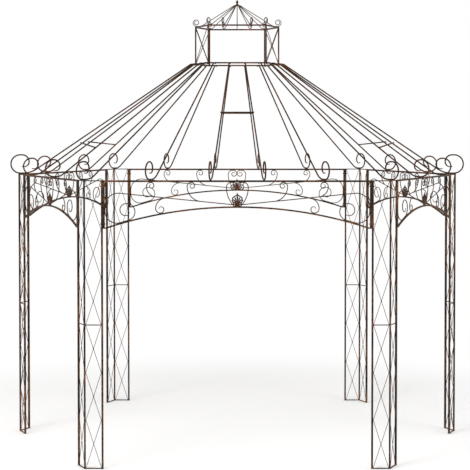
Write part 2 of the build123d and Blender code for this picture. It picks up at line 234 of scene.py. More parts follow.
# %% Turning a tree into a plain piece
def grow(name, carrier, tree, values):
    """Runs a tree on a carrier object and returns the result as a plain mesh object."""
    modifier = carrier.modifiers.new("grow", "NODES")
    modifier.node_group = tree
    for item in tree.interface.items_tree:
        if item.in_out == "INPUT" and item.name in values:
            modifier[item.identifier] = values[item.name]
    bpy.context.view_layer.update()
    graph = bpy.context.evaluated_depsgraph_get()
    mesh = bpy.data.meshes.new_from_object(carrier.evaluated_get(graph))
    mesh.name = name
    bpy.data.objects.remove(carrier)
    piece = bpy.data.objects.new(name, mesh)
    bpy.context.scene.collection.objects.link(piece)
    return piece


def line_carrier(paths):
    """A curve object with a straight-sided spline for each pair of a path and its thickness."""
    data = bpy.data.curves.new("paths", "CURVE")
    data.dimensions = "3D"
    for path, thickness in paths:
        spline = data.splines.new("POLY")
        spline.points.add(len(path) - 1)
        for point, place in zip(spline.points, path):
            point.co = (*place, 1.0)
            point.radius = thickness
    carrier = bpy.data.objects.new("carrier", data)
    bpy.context.scene.collection.objects.link(carrier)
    return carrier


def rods(name, paths, diameter, finish, sides=10, drawn=0.05, end_share=1.0):
    """Round rods along the given paths; the last stretch, drawn long, thins to end_share."""
    paths = [path if isinstance(path, tuple) else (path, 1.0) for path in paths]
    return grow(name, line_carrier(paths), ROD_TREE, {
        "Section radius": diameter / 2, "Sides": sides, "Drawn length": drawn,
        "End share": end_share, "Finish": finish})


def triangles(piece):
    return sum(len(face.vertices) - 2 for face in piece.data.polygons)


PIECES = []


def keep(piece, slot, *nodes):
    """Lets a finished piece ride on the pergola, and stand for the nodes it replaces."""
    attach(piece, "root")
    if nodes:
        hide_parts(*nodes)
    PIECES.append(piece)
    print(piece.name, triangles(piece), "triangles")


print("helpers ready")

# %% [markdown]
# ## The brown iron finish
#
# The photograph shows iron that is nearly black-brown in the shade of its bars and
# warm, rusty brown where light catches it: a patina that was brushed on and has begun
# to weather. One finish is not enough, because the square posts, the thin scrolls and
# the cast palmettes differ, so the helper builds a family of them. Each mixes three
# browns by noise at three scales: wide drifts of rust, small blotches, and fine grain.
# Rust gathers in the lowest hand's breadth, where rain splashes up from the ground. The
# iron is rougher where it is rustier, and two bumps give it hammer marks and scale.
# Everything reads Object coordinates, so the pattern stays put when the camera moves.

# %% Finishes
SPLASH_HEIGHT = 0.16
SHEEN = 0.14
WARM_SHEEN = (1.0, 0.86, 0.72, 1)


def iron(name, dark, brown, rust, rust_share, roughness, metallic, hammer=0.0006, grain=1.0):
    """A patinated iron: linear browns, the depth of its hammer marks, and how fine its grain is."""
    finish = bpy.data.materials.new(name)
    finish.use_nodes = True
    tree = finish.node_tree
    shader = tree.nodes["Principled BSDF"]
    place = add(tree, "ShaderNodeTexCoord").outputs["Object"]
    drift = add(tree, "ShaderNodeTexNoise", {"Vector": place, "Scale": 4.0, "Detail": 3.0})
    blotch = add(tree, "ShaderNodeTexNoise", {
        "Vector": place, "Scale": 55.0 * grain, "Detail": 5.0, "Roughness": 0.6})
    fine = add(tree, "ShaderNodeTexNoise", {"Vector": place, "Scale": 420.0 * grain, "Detail": 2.0})
    dents = add(tree, "ShaderNodeTexVoronoi", {"Vector": place, "Scale": 90.0 * grain},
                feature="SMOOTH_F1")

    # where the rust is: drifts broken up by blotches, and more of it near the ground
    height = add(tree, "ShaderNodeSeparateXYZ", {0: place})
    splash = add(tree, "ShaderNodeMapRange", {
        "Value": height.outputs["Z"], "From Max": SPLASH_HEIGHT, "To Min": 0.05, "To Max": 0.0},
        interpolation_type="SMOOTHSTEP")
    mottled = add(tree, "ShaderNodeMath", {0: drift.outputs[0], 1: blotch.outputs[0]},
                  operation="MULTIPLY")
    rusty = add(tree, "ShaderNodeMath", {0: mottled.outputs[0], 1: splash.outputs[0]},
                operation="ADD")
    ramp = add(tree, "ShaderNodeValToRGB", {"Fac": rusty.outputs[0]})
    ramp.color_ramp.elements[0].position = 0.23
    ramp.color_ramp.elements[1].position = 0.43 - 0.12 * rust_share

    # the browns; sockets 6 and 7 of a Mix node are its two colours, and output 2 the result
    tone = add(tree, "ShaderNodeMix", {"Factor": blotch.outputs[0], 6: dark, 7: brown},
               data_type="RGBA")
    coat = add(tree, "ShaderNodeMix", {
        "Factor": ramp.outputs["Color"], 6: tone.outputs[2], 7: rust}, data_type="RGBA")
    speck = add(tree, "ShaderNodeMapRange", {
        "Value": fine.outputs[0], "From Min": 0.35, "From Max": 0.7, "To Min": 0.82, "To Max": 1.2})
    colour = add(tree, "ShaderNodeMix", {"Factor": 1.0, 6: coat.outputs[2], 7: speck.outputs[0]},
                 data_type="RGBA", blend_type="MULTIPLY")
    tree.links.new(colour.outputs[2], shader.inputs["Base Color"])

    # the surface: duller where it is rusty, with hammer marks and fine scale
    dull = add(tree, "ShaderNodeMapRange", {
        "Value": rusty.outputs[0], "From Min": 0.15, "From Max": 0.42,
        "To Min": roughness - 0.10, "To Max": roughness + 0.22})
    tree.links.new(dull.outputs[0], shader.inputs["Roughness"])
    marks = add(tree, "ShaderNodeBump", {
        "Height": dents.outputs[0], "Distance": hammer, "Strength": 0.5})
    scale = add(tree, "ShaderNodeBump", {
        "Height": fine.outputs[0], "Distance": hammer / 3, "Strength": 0.45,
        "Normal": marks.outputs[0]})
    tree.links.new(scale.outputs[0], shader.inputs["Normal"])
    shader.inputs["Metallic"].default_value = metallic
    shader.inputs["Specular IOR Level"].default_value = SHEEN
    shader.inputs["Specular Tint"].default_value = WARM_SHEEN
    return finish


post_iron = iron(
    "post_iron", dark=(0.0074, 0.0036, 0.0018, 1), brown=(0.0264, 0.0129, 0.0064, 1),
    rust=(0.1619, 0.0728, 0.0306, 1), rust_share=0.40, roughness=0.52, metallic=0.10)
frame_iron = iron(
    "frame_iron", dark=(0.0091, 0.0042, 0.0021, 1), brown=(0.0309, 0.0140, 0.0064, 1),
    rust=(0.1565, 0.0658, 0.0259, 1), rust_share=0.35, roughness=0.50, metallic=0.10)
scroll_iron = iron(
    "scroll_iron", dark=(0.0126, 0.0063, 0.0034, 1), brown=(0.0386, 0.0189, 0.0094, 1),
    rust=(0.1275, 0.0574, 0.0255, 1), rust_share=0.28, roughness=0.46, metallic=0.12,
    hammer=0.0003)
roof_iron = iron(
    "roof_iron", dark=(0.0086, 0.0034, 0.0013, 1), brown=(0.0270, 0.0107, 0.0040, 1),
    rust=(0.1225, 0.0430, 0.0143, 1), rust_share=0.28, roughness=0.48, metallic=0.12,
    hammer=0.0004)
lantern_iron = iron(
    "lantern_iron", dark=(0.0142, 0.0065, 0.0039, 1), brown=(0.0447, 0.0186, 0.0102, 1),
    rust=(0.1725, 0.0657, 0.0296, 1), rust_share=0.32, roughness=0.50, metallic=0.10,
    hammer=0.0004)
cast_iron = iron(
    "cast_palmettes", dark=(0.0134, 0.0067, 0.0042, 1), brown=(0.0470, 0.0224, 0.0134, 1),
    rust=(0.1680, 0.0700, 0.0403, 1), rust_share=0.45, roughness=0.44, metallic=0.15,
    hammer=0.0003, grain=1.6)
weld_iron = iron(
    "weld_iron", dark=(0.0146, 0.0078, 0.0047, 1), brown=(0.0473, 0.0245, 0.0135, 1),
    rust=(0.1365, 0.0588, 0.0269, 1), rust_share=0.30, roughness=0.56, metallic=0.20,
    hammer=0.0003, grain=1.4)
print("seven iron finishes")

# %% [markdown]
# ## Square bars with soft edges
#
# The posts, the arched frames and the lantern's rings are square bar. Rolled bar never
# has a knife edge: its corners are rounded by a millimetre or so, and that thin line of
# light is what makes a square bar read as metal. The measured parts already have the
# right form, so each is copied, its loose triangles are joined into clean faces and the
# long edges get a small bevel. The posts look slimmer in the photograph than their
# measured bars, so their upright sides are drawn in by just under a millimetre, which
# keeps their height. Building the bars again from nothing would add nothing.

# %% Bevelled square bars
POST_SLIM = 0.0009
POST_EDGE = 0.0024
FRAME_EDGE = 0.0012
LANTERN_EDGE = 0.0010
CROSSBAR_EDGE = 0.0009


def softened(name, node, finish, edge, slim=0.0):
    """A copy of a measured part with joined faces and rounded edges; slim draws its sides in."""
    shape = bmesh.new()
    shape.from_mesh(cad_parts[node].data)
    bmesh.ops.remove_doubles(shape, verts=shape.verts, dist=0.00002)
    bmesh.ops.dissolve_limit(shape, angle_limit=radians(1), verts=shape.verts, edges=shape.edges)
    if slim:
        shape.normal_update()
        moves = [vert.normal * vert.calc_shell_factor() * slim for vert in shape.verts]
        for vert, move in zip(shape.verts, moves):
            vert.co -= Vector((move.x, move.y, 0.0))
    sharp = [line for line in shape.edges
             if len(line.link_faces) == 2 and line.calc_face_angle() > radians(40)]
    bmesh.ops.bevel(shape, geom=sharp, offset=edge, segments=2, affect="EDGES", profile=0.6,
                    clamp_overlap=True)
    for face in shape.faces:
        face.smooth = True
    mesh = bpy.data.meshes.new(name)
    shape.to_mesh(mesh)
    shape.free()
    mesh.materials.clear()
    mesh.materials.append(finish)
    mesh.set_sharp_from_angle(angle=radians(35))
    piece = bpy.data.objects.new(name, mesh)
    bpy.context.scene.collection.objects.link(piece)
    return piece


for corner in CORNERS:
    node = corner + "_post_frame"
    bars = softened(corner + "_post_bars", node, post_iron, POST_EDGE, POST_SLIM)
    keep(bars, "post_iron", node)
for face in FACES:
    node = face + "_arch_frame"
    keep(softened(face + "_arch_bars", node, frame_iron, FRAME_EDGE), "frame_iron", node)
for name, node in (("lantern_ring_bars", "lantern_base_ring"),
                   ("lantern_rail_bars", "lantern_top_rail"),
                   ("lantern_post_bars", "lantern_posts")):
    keep(softened(name, node, lantern_iron, LANTERN_EDGE), "lantern_iron", node)
crossbars = softened("roof_cross_pieces", "roof_crossbars", roof_iron, CROSSBAR_EDGE)
keep(crossbars, "roof_iron", "roof_crossbars")

# %% [markdown]
# ## The wires of the posts
#
# Between the uprights of a post two thin wires zigzag past each other and are welded
# where they cross. Each is one length of wire bent round a pin at every turn, so its
# turns are small arcs, not corners. We draw the zigzag with a bend at each side and put
# the wires before and behind the middle of the bars by a little less than half their
# thickness, so that they just sink into each other where they cross. A tie at half
# height, as thick as the links at foot and head, keeps the uprights apart.

# %% Post lattice
lattice_cells = 6
lattice_cell = (eave - 2 * post_link) / lattice_cells
lattice_aside = lattice_wire * 0.42
turn_radius = 0.010
turn_bite = 0.0005
tie_bite = 0.001


def zigzag(first_side):
    """A wire that runs from side to side up a post panel, with a small bend at each turn."""
    left = post_bar / 2 - POST_SLIM + lattice_wire / 2 - turn_bite
    right = post_panel - left
    slope = atan2(lattice_cell, right - left)
    points = []
    for i in range(lattice_cells + 1):
        x = right if (i + first_side) % 2 else left
        z = post_link + i * lattice_cell
        if i in (0, lattice_cells):
            points.append((x, z))
            continue
        inward = -1 if x == right else 1
        for step in range(-2, 3):
            angle = (pi / 2 - slope) * step / 2
            bow = turn_radius * (1 - cos(angle))
            points.append((x + inward * bow, z + turn_radius * sin(angle)))
    return points


tie = [(post_bar / 2 - tie_bite, eave / 2), (post_panel - post_bar / 2 + tie_bite, eave / 2)]
knots = [(post_panel / 2, post_link + (i + 0.5) * lattice_cell) for i in range(lattice_cells)]
LATTICE_CROSSINGS = []
names = list(CORNERS)
for at, corner in enumerate(names):
    place = CORNERS[corner]
    paths = []
    for neighbour in (names[at - 1], names[(at + 1) % len(names)]):
        other = CORNERS[neighbour]
        paths.append(stand_up(place, other, zigzag(0), lattice_aside))
        paths.append(stand_up(place, other, zigzag(1), -lattice_aside))
        paths.append((stand_up(place, other, tie), post_link / lattice_wire))
        LATTICE_CROSSINGS += stand_up(place, other, knots)
    wires = rods(corner + "_post_wires", paths, lattice_wire, scroll_iron)
    keep(wires, "post_iron", corner + "_post_lattice")

# %% [markdown]
# ## The friezes
#
# Each face has an arched frame filled with scrolls. The longest bar starts beside the
# lyre in the middle, rises to the corner and winds into a large volute that leans on
# the end bar and on the arch. Smaller scrolls hang from the rail and stand on the arch,
# and their stems land on the long bar without a kink. All of it is worked out from
# tangency, the way a smith lays it out on the bench, because a scroll that is only
# nearly tangent looks wrong at once.

# %% Scroll sizes
WIDE_RISE = 0.165
NARROW_RISE = 0.136

# the long bar's volute: its radii, the straight runs between them, and its inner turns
volute_radius = 0.100
volute_drop = 0.040
volute_foot = 0.088
volute_run = 0.070
volute_inner = (0.66, 0.62, 0.48, 0.42)
volute_tail = (0.25, -75)
long_bar_lift = 0.008

# the small scrolls, and where they stand as shares of the long bar's length
scroll_radius = 0.032
lower_scroll_radius = 0.035
scroll_taper = 0.78
upper_scroll_shares = (0.41, 0.765)
lower_scroll_share = 0.685

# the lyre round the crown
lyre_half = 0.083
lyre_foot = 0.024
lyre_curl = 0.038
lyre_top_run = 0.0125
lyre_inner_radius = 0.030
lyre_end_radius = 0.026
lyre_taper = 0.80
print("a frieze rises", WIDE_RISE, "m on a wide face and", NARROW_RISE, "m on a narrow one")


# %% The arch and the long bar
def arch_of(face):
    """Half the clear width inside the end bars, crown height and arch radius of a face."""
    start, end = (CORNERS[corner] for corner in FACES[face])
    half = (end - start).length / 2 - post_panel - post_bar / 2
    rise = WIDE_RISE if face in WIDE_FACES else NARROW_RISE
    span = half - frame_bar / 2
    return half - frame_bar, spring + rise, (span ** 2 + rise ** 2) / (2 * rise)


def arch_top(arch, x):
    """Height of the arch bar's upper side at x from the middle of the face."""
    outer = arch[2] + arch_bar / 2
    return arch[1] - arch[2] + (outer ** 2 - x ** 2) ** 0.5


def long_bar(arch):
    """Start, heading, straight length and moves of the long bar and its volute."""
    clear, crown, radius = arch
    reach = scroll_wire / 2 - bite
    top_x = clear - reach - volute_radius
    foot_x = clear - reach - volute_foot
    away = radius + arch_bar / 2 + reach + volute_foot
    foot_z = crown - radius + (away ** 2 - foot_x ** 2) ** 0.5
    tilt = degrees(asin(foot_x / away))
    start = Vector((lyre_foot, arch_top(arch, lyre_foot) + scroll_wire / 2 + long_bar_lift))
    to_top = Vector((top_x, foot_z + volute_drop)) - start
    lean = asin(volute_radius / to_top.length)
    heading = degrees(atan2(to_top.y, to_top.x) + lean)
    run = to_top.length * cos(lean)
    moves = [(run,), (volute_radius, -90 - heading), (volute_drop,),
             (volute_foot, -90 - tilt), (volute_run,)]
    moves += [(volute_radius * share, -90) for share in volute_inner]
    moves.append((volute_radius * volute_tail[0], volute_tail[1]))
    return start, heading, run, moves


front_arch = arch_of("front")
print("front arch: clear half, crown, radius =", [round(value, 4) for value in front_arch])
print("its long bar climbs at", round(long_bar(front_arch)[1], 1), "degrees")


# %% The small scrolls and the lyre
def upper_scroll(outer_x, start, heading):
    """A scroll under the rail, from its stem on the long bar over the rail and inwards."""
    top = eave - frame_bar - scroll_wire / 2 + bite
    slope = radians(heading)
    bar_z = start.y + tan(slope) * (outer_x - start.x)
    stem = (top - scroll_radius - bar_z) / (cos(slope) - tan(slope) * (1 - sin(slope)))
    seat = (outer_x - scroll_radius, top)
    down = walk(seat, 0, [(scroll_radius, -90), (stem, heading - 90)])
    inward = walk(seat, 180, curl(scroll_radius * scroll_taper, scroll_taper, 4))
    return down[::-1] + inward[1:]


def lower_scroll(arch, outer_x, start, heading):
    """A scroll from its stem on the long bar, down to the arch and inwards."""
    seat_x = outer_x - lower_scroll_radius
    bottom = arch_top(arch, seat_x) + scroll_wire / 2 - bite
    slope = radians(heading)
    bar_z = start.y + tan(slope) * (outer_x - start.x)
    stem = (bar_z - bottom - lower_scroll_radius) / (cos(slope) + tan(slope) * (1 + sin(slope)))
    up = walk((seat_x, bottom), 0, [(lower_scroll_radius, 90), (stem, heading + 90)])
    turns = curl(lower_scroll_radius * scroll_taper, scroll_taper, 3, -1)
    inward = walk((seat_x, bottom), 180, turns)
    return up[::-1] + inward[1:]


def lyre_side(arch):
    """Half of the lyre, up from the crown and curled in under the rail."""
    top = eave - frame_bar - scroll_wire / 2 + bite
    foot = (lyre_foot, arch_top(arch, lyre_foot))
    rise = top - lyre_curl - foot[1]
    out = lyre_half - foot[0]
    turn = 2 * degrees(atan2(out, rise))
    radius = (out ** 2 + rise ** 2) ** 0.5 / (2 * sin(radians(turn / 2)))
    moves = [(radius, turn), (lyre_curl, 90), (lyre_top_run,), (lyre_inner_radius, 90)]
    return walk(foot, 90 - turn, moves + curl(lyre_end_radius, lyre_taper, 4))


print("a lyre side bends through", len(lyre_side(front_arch)), "points")

# %% [markdown]
# The right half of each frieze is drawn and its mirror image is made by turning the
# signs of x, which keeps both halves the same. The places where a scroll touches the
# frame are noted on the way, because that is where the weld beads go later.

# %% Frieze scrollwork
SCROLL_TOUCHES = []
for face, (left, right) in FACES.items():
    arch = arch_of(face)
    start, heading, run, moves = long_bar(arch)
    length = run * cos(radians(heading))
    half = [walk(start, heading, moves)]
    half += [upper_scroll(start.x + share * length, start, heading)
             for share in upper_scroll_shares]
    half.append(lower_scroll(arch, start.x + lower_scroll_share * length, start, heading))
    half.append(lyre_side(arch))
    widest = max(half[0], key=lambda point: point[0])
    touches = [(lyre_foot, arch_top(arch, lyre_foot)), (arch[0], widest[1])]
    touches += [max(path, key=lambda point: point[1]) for path in half[1:3] + half[4:]]
    touches.append(min(half[3], key=lambda point: point[1]))
    middle = CORNERS[left].lerp(CORNERS[right], 0.5)
    paths = []
    for side in (1, -1):
        for path in half:
            paths.append(stand_up(middle, CORNERS[right], [(side * x, z) for x, z in path]))
        SCROLL_TOUCHES += stand_up(middle, CORNERS[right], [(side * x, z) for x, z in touches])
    scrolls = rods(face + "_scrolls", paths, scroll_rod, scroll_iron, drawn=0.06, end_share=0.6)
    keep(scrolls, "scroll_iron", face + "_arch_scrollwork")

# %% [markdown]
# ## The cast palmettes
#
# On the crown of each arch stands a small pierced casting: a dome from which seven
# leaves spread like a fan, held by a rim that rises to a point and ends in a bud. Light
# shows between the leaves, so they must be separate forms with air between them, not a
# pattern on a plate. Every leaf is a swelling body with an oval section. The rim is one
# more bent rod from the same tree. Both sides are alike, because a pergola is seen from
# inside as well.

# %% Leaf and rim sizes
RIM = [(0.0125, 0.0040), (0.0165, 0.0125), (0.0235, 0.0170), (0.0300, 0.0235), (0.0340, 0.0320),
       (0.0365, 0.0415), (0.0368, 0.0520), (0.0360, 0.0610), (0.0335, 0.0665), (0.0275, 0.0710),
       (0.0205, 0.0750), (0.0135, 0.0795), (0.0065, 0.0850), (0.0, 0.0895)]
RIM_THICKNESS = 0.0098
# leaves: angle from upright, length, half width; horns: their foot on the rim, then the same
LEAVES = [(0, 0.0640, 0.0066), (23, 0.0530, 0.0054), (46, 0.0460, 0.0054), (72, 0.0400, 0.0050)]
LEAF_FOOT = Vector((0, 0, 0.0220))
LEAF_DEPTH = 0.0042
HORNS = [((0.0335, 0.0385), 60, 0.0145, 0.0046), ((0.0240, 0.0190), 118, 0.0130, 0.0052)]
HORN_DEPTH = 0.0036
COLLAR = (0.042, 0.0094, 0.0058)
COLLAR_MIDDLE = 0.0025
LOG_OF_HALF = -0.6931
print("a palmette has", 2 * len(LEAVES) - 1, "leaves and stands", RIM[-1][1], "m high")


# %% A leaf and the whole casting
def swelling(shape, foot, angle, length, half_width, half_depth, fullest, rings=9, sides=8):
    """A closed leaf with an oval section, widest at a share of its length, in the xz plane."""
    lean = radians(angle)
    along, across = Vector((sin(lean), 0, cos(lean))), Vector((cos(lean), 0, -sin(lean)))
    power = LOG_OF_HALF / log(fullest)
    loops = [[shape.verts.new(foot)]]
    for i in range(1, rings):
        share = i / rings
        body = sin(pi * share ** power) ** 0.7
        centre = foot + along * length * share
        loop = []
        for k in range(sides):
            turn = 2 * pi * k / sides
            wide = across * cos(turn) * half_width * (0.25 + 0.75 * body)
            deep = Vector((0, sin(turn) * half_depth * (0.4 + 0.6 * body), 0))
            loop.append(shape.verts.new(centre + wide + deep))
        loops.append(loop)
    loops.append([shape.verts.new(foot + along * length)])
    for low, high in zip(loops, loops[1:]):
        for k in range(sides):
            ring = [low[k % len(low)], low[(k + 1) % len(low)],
                    high[(k + 1) % len(high)], high[k % len(high)]]
            shape.faces.new(list(dict.fromkeys(ring)))


def palmette_form():
    """Dome, leaves, horns, bud and collar of the casting, upright about the origin."""
    shape = bmesh.new()
    for side in (1, -1):
        for angle, length, half_width in LEAVES:
            if angle or side == 1:
                swelling(shape, LEAF_FOOT, side * angle, length, half_width, LEAF_DEPTH,
                         fullest=0.68)
        for (x, z), angle, length, half_width in HORNS:
            foot = Vector((side * x, 0, z))
            swelling(shape, foot, side * angle, length, half_width, HORN_DEPTH, fullest=0.3)
    # the dome, then the bud on the point of the rim
    swelling(shape, Vector((0, 0, -0.0010)), angle=0, length=0.0440, half_width=0.0185,
             half_depth=0.0049, fullest=0.46, rings=12, sides=16)
    swelling(shape, Vector((0, 0, 0.0855)), angle=0, length=0.0190, half_width=0.0042,
             half_depth=0.0040, fullest=0.4)
    collar = bmesh.ops.create_cube(shape, size=1.0)["verts"]
    for vert in collar:
        x, y, z = (value * size for value, size in zip(vert.co, COLLAR))
        vert.co = Vector((x, y, z + COLLAR_MIDDLE))
    edges = list(dict.fromkeys(line for vert in collar for line in vert.link_edges))
    bmesh.ops.bevel(shape, geom=edges, offset=0.0016, segments=2, affect="EDGES", profile=0.6)
    bmesh.ops.recalc_face_normals(shape, faces=shape.faces)
    return shape


# %% Six palmettes on their arches
outline = RIM + [(-x, z) for x, z in RIM[-2::-1]]
for face, (left, right) in FACES.items():
    middle = CORNERS[left].lerp(CORNERS[right], 0.5)
    base = arch_of(face)[1] + arch_bar / 2 - 0.0002
    along = (CORNERS[right] - middle).normalized()
    rim = stand_up(middle, CORNERS[right], [(x, z + base) for x, z in outline])
    piece = rods(face + "_cast_palmette", [rim], RIM_THICKNESS, cast_iron)
    form = palmette_form()
    for vert in form.verts:
        x, y, z = vert.co
        vert.co = (middle.x + along.x * x - along.y * y,
                   middle.y + along.y * x + along.x * y, z + base)
    for patch in form.faces:
        patch.smooth = True
    form.from_mesh(piece.data)
    form.to_mesh(piece.data)
    form.free()
    piece.data.set_sharp_from_angle(angle=radians(45))
    keep(piece, "cast_palmettes", face + "_palmette")

# %% [markdown]
# ## The rafters
#
# A rafter leaves the lantern's ring level, bends over a knee and runs straight down to
# the eave. There a long, gentle bend lays it flat on the rail, and its end is wound up
# into a volute that stands on the eave. The corner rafters have wider volutes than the
# ones between, and the two at the far left and right have the largest. Knee and heel
# are two circles, and the straight run is the line that touches both.

# %% Rafter sizes
# how a rafter sits on the eave: radius of its heel, and how far its level run reaches
# inwards and outwards from the middle of the rail
SEAT = (0.150, 0.024, 0.014)
SIDE_SEAT = (0.090, 0.012, 0.014)
END_SEAT = (0.200, 0.035, -0.008)

rafter_knee = 0.024
knee_reach = 0.028 + lantern_bar / 2
volute_shares = ((0.75, 90), (0.56, 90), (0.40, 35))

# radius of the volute and the straight run at its top
FACE_VOLUTE = (0.0675, 0.004)
CORNER_VOLUTE = (0.0675, 0.018)
END_VOLUTE = (0.0779, 0.018)

# where the rafters stand at the lantern's ring and at the eave: on a wide face as shares
# of its half from the middle, on a narrow one of the whole from the far left or right
WIDE_SHARES = ((0.255, 0.175), (0.74, 0.568))
NEAR_SHARES = ((0.22, 0.24), (0.68, 0.585))
FAR_SHARES = ((0.22, 0.265), (0.68, 0.675))
print("volutes of", 2 * FACE_VOLUTE[0], "m, at the far left and right", 2 * END_VOLUTE[0], "m")


# %% Rafter path
def rod_moves(start, end, knee, heel, reach):
    """Level, over a knee, down a straight slope and level again at end."""
    knee_centre = Vector((start[0] + reach, start[1] - knee))
    heel_centre = Vector((end[0], end[1] + heel))
    apart = heel_centre - knee_centre
    lean = asin((knee + heel) / apart.length)
    slope = degrees(lean - atan2(apart.y, apart.x))
    return [(reach,), (knee, -slope), (apart.length * cos(lean),), (heel, slope)]


def rafter(ring_point, eave_point, seat, volute):
    """One rafter, from the middle of the ring's bar to the end of its volute."""
    heel, inward, outward = seat
    radius, top_run = volute
    length = (eave_point - ring_point).length
    end = (length - inward, eave + seat_gap + rafter_rod / 2)
    moves = rod_moves((0.0, ring_height), end, rafter_knee, heel, knee_reach)
    moves += [(inward + outward,), (radius, 90), (radius, 90), (top_run,)]
    moves += [(radius * share, turn) for share, turn in volute_shares]
    return stand_up(ring_point, eave_point, walk((0.0, ring_height), 0, moves))


def rafter_ends(face):
    """Ring and eave points of the rafters between the corners of one face."""
    start, end = (CORNERS[corner] for corner in FACES[face])
    ring_start, ring_end = (LANTERN[corner] for corner in FACES[face])
    if face in WIDE_FACES:
        shares = [(0.5 + side * r / 2, 0.5 + side * e / 2)
                  for side in (-1, 1) for r, e in WIDE_SHARES]
    else:
        shares = NEAR_SHARES if face.startswith("front") else FAR_SHARES
        if FACES[face][0] not in ("left", "right"):
            shares = [(1 - r, 1 - e) for r, e in shares]
    return [(ring_start.lerp(ring_end, r), start.lerp(end, e)) for r, e in shares]


def bent_rods(name, paths):
    """Rafters as rods of their own thickness, with their volutes drawn out."""
    return rods(name, paths, rafter_rod, roof_iron, sides=14, drawn=0.07, end_share=0.6)


# %% All the rafters
RAFTER_SEATS = []
for face in FACES:
    seat = SEAT if face in WIDE_FACES else SIDE_SEAT
    ends = rafter_ends(face)
    paths = [rafter(ring, foot, seat, FACE_VOLUTE) for ring, foot in ends]
    RAFTER_SEATS += ends
    keep(bent_rods(face + "_bent_rods", paths), "roof_iron", face + "_rafters")
corner_paths = []
for corner in CORNERS:
    seat, volute = (END_SEAT, END_VOLUTE) if corner in ("left", "right") else (SEAT, CORNER_VOLUTE)
    corner_paths.append(rafter(LANTERN[corner], CORNERS[corner], seat, volute))
    RAFTER_SEATS.append((LANTERN[corner], CORNERS[corner]))
keep(bent_rods("corner_bent_rods", corner_paths), "roof_iron", "corner_rafters")

# %% [markdown]
# ## The lantern
#
# The lantern has crossed wires in its four narrow faces and a roof of twelve thin rods
# that gather in a boss at the apex and curl up at its rail. The rods use the same tree
# as the rafters, only thinner. The boss and the bud on it are turned pieces, so their
# profile is carried round the axis in rings, which closes them at both poles.

# %% Lantern wires
brace_aside = brace_wire * 0.45
brace_paths = []
BRACE_CROSSINGS = []
for face, (first, second) in FACES.items():
    if face in WIDE_FACES:
        continue
    start, end = LANTERN[first], LANTERN[second]
    low, high = ring_height + lantern_bar / 2, lantern_rail - lantern_bar
    left, right = lantern_bar / 2, (end - start).length - lantern_bar / 2
    brace_paths.append(stand_up(start, end, [(left, low), (right, high)], brace_aside))
    brace_paths.append(stand_up(start, end, [(right, low), (left, high)], -brace_aside))
    BRACE_CROSSINGS += stand_up(start, end, [((left + right) / 2, (low + high) / 2)])
cross_wires = rods("lantern_cross_wires", brace_paths, brace_wire, lantern_iron)
keep(cross_wires, "lantern_iron", "lantern_braces")

# %% Lantern roof rods
curled_rod = 0.0066
rod_start = (0.014, hub_height)
rod_seat_inward = 0.032
rod_knee, rod_heel, rod_knee_reach = 0.008, 0.050, 0.006
rod_seat_run = 0.024

roof_paths = []
roof_ends = list(LANTERN.values())
for face in WIDE_FACES:
    start, end = (LANTERN[corner] for corner in FACES[face])
    roof_ends += [start.lerp(end, share) for share in (0.25, 0.5, 0.75)]
for foot in roof_ends:
    seat_end = (foot.length - rod_seat_inward, lantern_rail + seat_gap + lantern_rod / 2)
    moves = rod_moves(rod_start, seat_end, rod_knee, rod_heel, rod_knee_reach)
    moves += [(rod_seat_run,)] + curl(0.029, 0.87, 6)
    roof_paths.append(stand_up(Vector((0.0, 0.0)), foot, walk(rod_start, 0, moves)))
curled = rods("lantern_curled_rods", roof_paths, curled_rod, lantern_iron,
              drawn=0.04, end_share=0.7)
keep(curled, "lantern_iron", "lantern_roof_rods")

# %% Boss and bud
def turned(name, profile, foot_height, finish, steps=28):
    """A closed turned piece from (radius, height) points in millimetres, bottom to top."""
    shape = bmesh.new()
    rings = []
    for radius, height in profile:
        radius, height = radius / 1000, foot_height + height / 1000
        if radius == 0:
            rings.append([shape.verts.new((0, 0, height))])
            continue
        turns = [2 * pi * i / steps for i in range(steps)]
        rings.append([shape.verts.new((radius * cos(turn), radius * sin(turn), height))
                      for turn in turns])
    for low, high in zip(rings, rings[1:]):
        for i in range(steps):
            corners = [low[i % len(low)], low[(i + 1) % len(low)],
                       high[(i + 1) % len(high)], high[i % len(high)]]
            shape.faces.new(list(dict.fromkeys(corners)))
    for face in shape.faces:
        face.smooth = True
    bmesh.ops.recalc_face_normals(shape, faces=shape.faces)
    mesh = bpy.data.meshes.new(name)
    shape.to_mesh(mesh)
    shape.free()
    mesh.materials.append(finish)
    mesh.set_sharp_from_angle(angle=radians(50))
    piece = bpy.data.objects.new(name, mesh)
    bpy.context.scene.collection.objects.link(piece)
    return piece


boss = [(0, -6), (29, -6), (31, -5.6), (31.8, -4.8), (31.2, -3.8), (28, -2.0), (20, 2.2),
        (14, 5.0), (11, 6), (0, 6)]
keep(turned("lantern_boss", boss, hub_height, lantern_iron), "lantern_iron", "lantern_hub")
boss_top = 0.006
bud = [(0, 0), (11.0, 0), (11.4, 1.5), (11.4, 3.5), (10.4, 4.8), (8.0, 6.2), (7.0, 8.2),
       (7.2, 10.5), (8.8, 13.0), (10.6, 16.5), (11.3, 20.0), (10.8, 24.0), (8.9, 28.5),
       (6.2, 33.0), (3.8, 37.0), (2.0, 41.0), (0, 44)]
keep(turned("lantern_bud", bud, hub_height + boss_top, lantern_iron), "lantern_iron", "finial")

# %% [markdown]
# ## Weld beads
#
# Some two hundred joints hold the pergola together, each with a small lump of weld. This
# is work for a tree of instances: it takes bare points, puts a low ball of few faces on
# each, turns and scales it at random from a fixed seed, makes it lumpy with noise, and
# realizes it all as one mesh. The size is an input, so the same tree serves the thin
# scrolls and the thick rafters.

